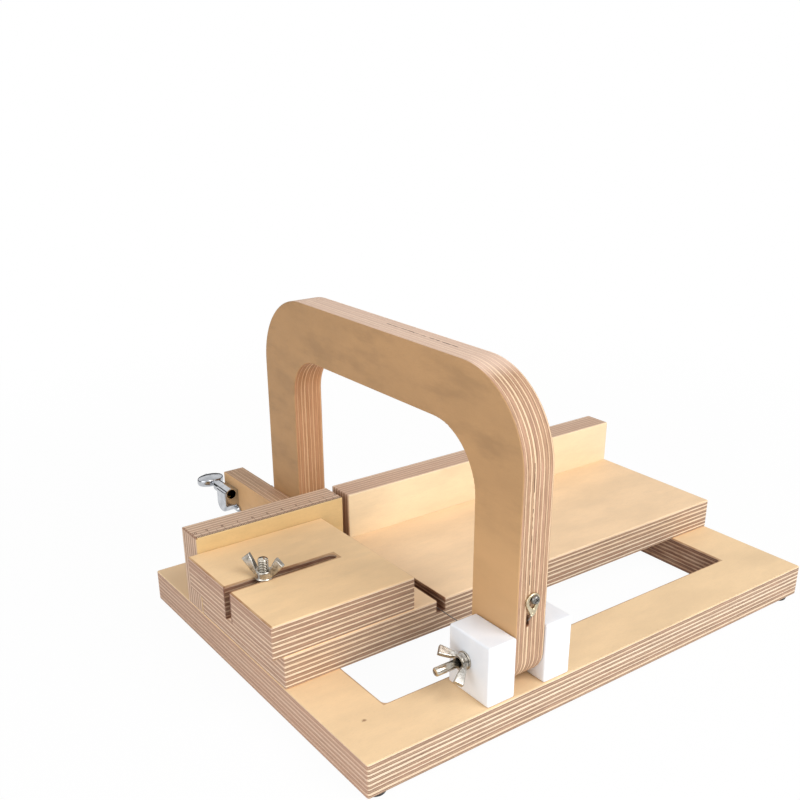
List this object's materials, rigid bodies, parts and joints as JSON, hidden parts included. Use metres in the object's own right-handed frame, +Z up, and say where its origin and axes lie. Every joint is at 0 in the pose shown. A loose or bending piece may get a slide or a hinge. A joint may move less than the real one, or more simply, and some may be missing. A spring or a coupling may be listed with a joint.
{
  "type": "soap cutter",
  "caption": "Plywood soap cutter: a swinging arch carries a tightened wire down through a grooved bed, beside a sliding stop block and a ruled fence.",
  "frame": {"origin": "middle of the footprint, on the table", "axes": "+X along the bed away from the ruler fence, +Y away from the user towards the fences, +Z up"},
  "size_m": [0.3442, 0.3142, 0.191],
  "materials": {
    "plywood": "bare birch plywood, sanded",
    "zinc_steel": "nickel-plated steel",
    "chrome": "polished chrome",
    "brass": "machined",
    "white_plastic": "satin",
    "rubber": "matt",
    "wire_steel": "drawn stainless wire"
  },
  "bodies": {
    "base": {"base_board": "plywood", "bed_board": "plywood", "ruler_fence": "plywood", "back_fence": "plywood", "left_pivot_block": "white_plastic", "right_pivot_block": "white_plastic", "pivot_bolt": "zinc_steel", "pivot_washer": "zinc_steel", "stop_bolt": "zinc_steel", "rubber_feet": "rubber", "foot_screws": "zinc_steel", "bed_screws": "zinc_steel", "fence_screws": "zinc_steel", "fence_end_screws": "zinc_steel", "block_screws": "zinc_steel"},
    "swing_arch": {"arch": "plywood", "tuner_bar": "plywood", "bar_screws": "zinc_steel", "cutting_wire": "wire_steel", "anchor_ring": "zinc_steel", "anchor_screw": "zinc_steel", "tuner_housing": "chrome", "tuner_screw": "chrome", "tuner_washer": "chrome", "tuner_bush": "chrome"},
    "stop": {"stop_block": "plywood"},
    "stop_nut": {"stop_wing_nut": "zinc_steel"},
    "pivot_nut": {"pivot_wing_nut": "zinc_steel"},
    "tuner_knob": {"tuner_worm": "chrome", "tuner_button": "chrome", "button_screw": "chrome"},
    "tuner_spindle": {"tuner_post": "chrome", "tuner_gear": "brass"}
  },
  "joints": [
    {"name": "arch_lift", "type": "hinge", "parent": "base", "child": "swing_arch", "pos_m": [-0.06363, -0.13628, 0.0426], "axis": [1, 0, 0], "range_deg": [0, 90]},
    {"name": "stop_slide", "type": "slide", "parent": "base", "child": "stop", "axis": [1, 0, 0], "range_m": [-0.0434, 0.0155]},
    {"name": "stop_nut_turn", "type": "hinge", "parent": "base", "child": "stop_nut", "pos_m": [-0.14918, -0.03148, 0.063], "axis": [0, 0, 1], "continuous": true},
    {"name": "pivot_nut_turn", "type": "hinge", "parent": "base", "child": "pivot_nut", "pos_m": [-0.09362, -0.13628, 0.0426], "axis": [1, 0, 0], "continuous": true},
    {"name": "knob_turn", "type": "hinge", "parent": "swing_arch", "child": "tuner_knob", "pos_m": [-0.09442, 0.12423, 0.0474], "axis": [0, 1, 0], "continuous": true},
    {"name": "spindle_turn", "type": "hinge", "parent": "swing_arch", "child": "tuner_spindle", "pos_m": [-0.09442, 0.12423, 0.0396], "axis": [1, 0, 0], "continuous": true}
  ],
  "couplings": [
    {"joint": "spindle_turn", "follows": "knob_turn", "ratio": 0.071429}
  ]
}
